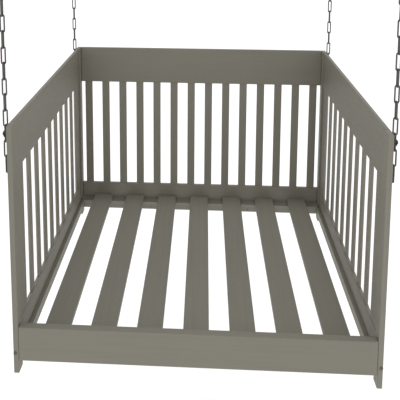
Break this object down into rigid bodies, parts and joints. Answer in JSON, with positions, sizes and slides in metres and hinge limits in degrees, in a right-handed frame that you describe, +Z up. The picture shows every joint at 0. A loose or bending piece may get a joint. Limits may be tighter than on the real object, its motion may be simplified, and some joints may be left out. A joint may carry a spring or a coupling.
{
  "type": "porch swing",
  "caption": "Slatted day-bed porch swing with railings on three sides and an open front, hung on link chains from ceiling plates.",
  "frame": {"origin": "on the level of the feet, under the middle of the bed", "axes": "+X to the right seen from the open front, +Y to the back rail, +Z up towards the ceiling plates"},
  "size_m": [1.3754, 1.073, 2.6891],
  "materials": {
    "painted_wood": "warm grey paint, satin",
    "chain_steel": "dark grey coated steel",
    "bolt_steel": "dark bronze coated steel",
    "dowel_wood": "bare beech"
  },
  "bodies": {
    "ceiling_plates": {"front_left_ceiling_plate": "chain_steel", "front_right_ceiling_plate": "chain_steel", "back_left_ceiling_plate": "chain_steel", "back_right_ceiling_plate": "chain_steel"},
    "front_left_upper_link": {"front_left_top_link": "chain_steel"},
    "front_left_hanging_chain": {"front_left_chain": "chain_steel"},
    "front_left_lower_link": {"front_left_bottom_link": "chain_steel"},
    "front_right_upper_link": {"front_right_top_link": "chain_steel"},
    "front_right_hanging_chain": {"front_right_chain": "chain_steel"},
    "front_right_lower_link": {"front_right_bottom_link": "chain_steel"},
    "back_left_upper_link": {"back_left_top_link": "chain_steel"},
    "back_left_hanging_chain": {"back_left_chain": "chain_steel"},
    "back_left_lower_link": {"back_left_bottom_link": "chain_steel"},
    "back_right_upper_link": {"back_right_top_link": "chain_steel"},
    "back_right_hanging_chain": {"back_right_chain": "chain_steel"},
    "back_right_lower_link": {"back_right_bottom_link": "chain_steel"},
    "bed": {"front_left_post": "painted_wood", "front_right_post": "painted_wood", "back_left_post": "painted_wood", "back_right_post": "painted_wood", "front_left_stile": "painted_wood", "front_right_stile": "painted_wood", "back_left_stile": "painted_wood", "back_right_stile": "painted_wood", "left_top_rail": "painted_wood", "right_top_rail": "painted_wood", "back_top_rail": "painted_wood", "left_lower_rail": "painted_wood", "right_lower_rail": "painted_wood", "back_lower_rail": "painted_wood", "front_rail": "painted_wood", "left_spindles": "painted_wood", "right_spindles": "painted_wood", "back_spindles": "painted_wood", "left_cleat": "painted_wood", "right_cleat": "painted_wood", "front_cleat": "painted_wood", "back_cleat": "painted_wood", "deck_slat_1": "painted_wood", "deck_slat_2": "painted_wood", "deck_slat_3": "painted_wood", "deck_slat_4": "painted_wood", "deck_slat_5": "painted_wood", "deck_slat_6": "painted_wood", "deck_slat_7": "painted_wood", "front_left_anchor_links": "chain_steel", "front_right_anchor_links": "chain_steel", "back_left_anchor_links": "chain_steel", "back_right_anchor_links": "chain_steel", "chain_bolts": "bolt_steel", "chain_washers": "bolt_steel", "chain_spacers": "bolt_steel", "chain_nuts": "bolt_steel", "bed_bolts": "bolt_steel", "barrel_nuts": "bolt_steel", "slat_screws": "bolt_steel", "long_cleat_screws": "bolt_steel", "short_cleat_screws": "bolt_steel", "rail_dowels": "dowel_wood"}
  },
  "joints": [
    {"name": "sway", "type": "hinge", "parent": "ceiling_plates", "child": "front_left_upper_link", "pos_m": [-0.6707, -0.4945, 2.6591], "axis": [0, 1, 0], "range_deg": [-6, 6]},
    {"name": "swing", "type": "hinge", "parent": "front_left_upper_link", "child": "front_left_hanging_chain", "pos_m": [-0.6707, -0.4945, 2.6031], "axis": [1, 0, 0], "range_deg": [-15, 15]},
    {"name": "front_left_lower_swing", "type": "hinge", "parent": "front_left_hanging_chain", "child": "front_left_lower_link", "pos_m": [-0.6707, -0.4945, 0.9849], "axis": [1, 0, 0], "range_deg": [-15, 15]},
    {"name": "front_left_lower_sway", "type": "hinge", "parent": "front_left_lower_link", "child": "bed", "pos_m": [-0.6707, -0.4945, 0.9289], "axis": [0, 1, 0], "range_deg": [-6, 6]},
    {"name": "front_right_lower_sway", "type": "hinge", "parent": "bed", "child": "front_right_lower_link", "pos_m": [0.6707, -0.4945, 0.9289], "axis": [0, 1, 0], "range_deg": [-6, 6]},
    {"name": "front_right_lower_swing", "type": "hinge", "parent": "front_right_lower_link", "child": "front_right_hanging_chain", "pos_m": [0.6707, -0.4945, 0.9849], "axis": [1, 0, 0], "range_deg": [-15, 15]},
    {"name": "front_right_upper_swing", "type": "hinge", "parent": "front_right_hanging_chain", "child": "front_right_upper_link", "pos_m": [0.6707, -0.4945, 2.6031], "axis": [1, 0, 0], "range_deg": [-15, 15]},
    {"name": "back_left_lower_sway", "type": "hinge", "parent": "bed", "child": "back_left_lower_link", "pos_m": [-0.6707, 0.4945, 0.9289], "axis": [0, 1, 0], "range_deg": [-6, 6]},
    {"name": "back_left_lower_swing", "type": "hinge", "parent": "back_left_lower_link", "child": "back_left_hanging_chain", "pos_m": [-0.6707, 0.4945, 0.9849], "axis": [1, 0, 0], "range_deg": [-15, 15]},
    {"name": "back_left_upper_swing", "type": "hinge", "parent": "back_left_hanging_chain", "child": "back_left_upper_link", "pos_m": [-0.6707, 0.4945, 2.6031], "axis": [1, 0, 0], "range_deg": [-15, 15]},
    {"name": "back_right_lower_sway", "type": "hinge", "parent": "bed", "child": "back_right_lower_link", "pos_m": [0.6707, 0.4945, 0.9289], "axis": [0, 1, 0], "range_deg": [-6, 6]},
    {"name": "back_right_lower_swing", "type": "hinge", "parent": "back_right_lower_link", "child": "back_right_hanging_chain", "pos_m": [0.6707, 0.4945, 0.9849], "axis": [1, 0, 0], "range_deg": [-15, 15]},
    {"name": "back_right_upper_swing", "type": "hinge", "parent": "back_right_hanging_chain", "child": "back_right_upper_link", "pos_m": [0.6707, 0.4945, 2.6031], "axis": [1, 0, 0], "range_deg": [-15, 15]}
  ],
  "couplings": [
    {"joint": "front_left_lower_swing", "follows": "swing", "ratio": -1},
    {"joint": "front_left_lower_sway", "follows": "sway", "ratio": -1},
    {"joint": "front_right_lower_sway", "follows": "sway", "ratio": 1},
    {"joint": "front_right_lower_swing", "follows": "swing", "ratio": 1},
    {"joint": "front_right_upper_swing", "follows": "swing", "ratio": -1},
    {"joint": "back_left_lower_sway", "follows": "sway", "ratio": 1},
    {"joint": "back_left_lower_swing", "follows": "swing", "ratio": 1},
    {"joint": "back_left_upper_swing", "follows": "swing", "ratio": -1},
    {"joint": "back_right_lower_sway", "follows": "sway", "ratio": 1},
    {"joint": "back_right_lower_swing", "follows": "swing", "ratio": 1},
    {"joint": "back_right_upper_swing", "follows": "swing", "ratio": -1}
  ]
}
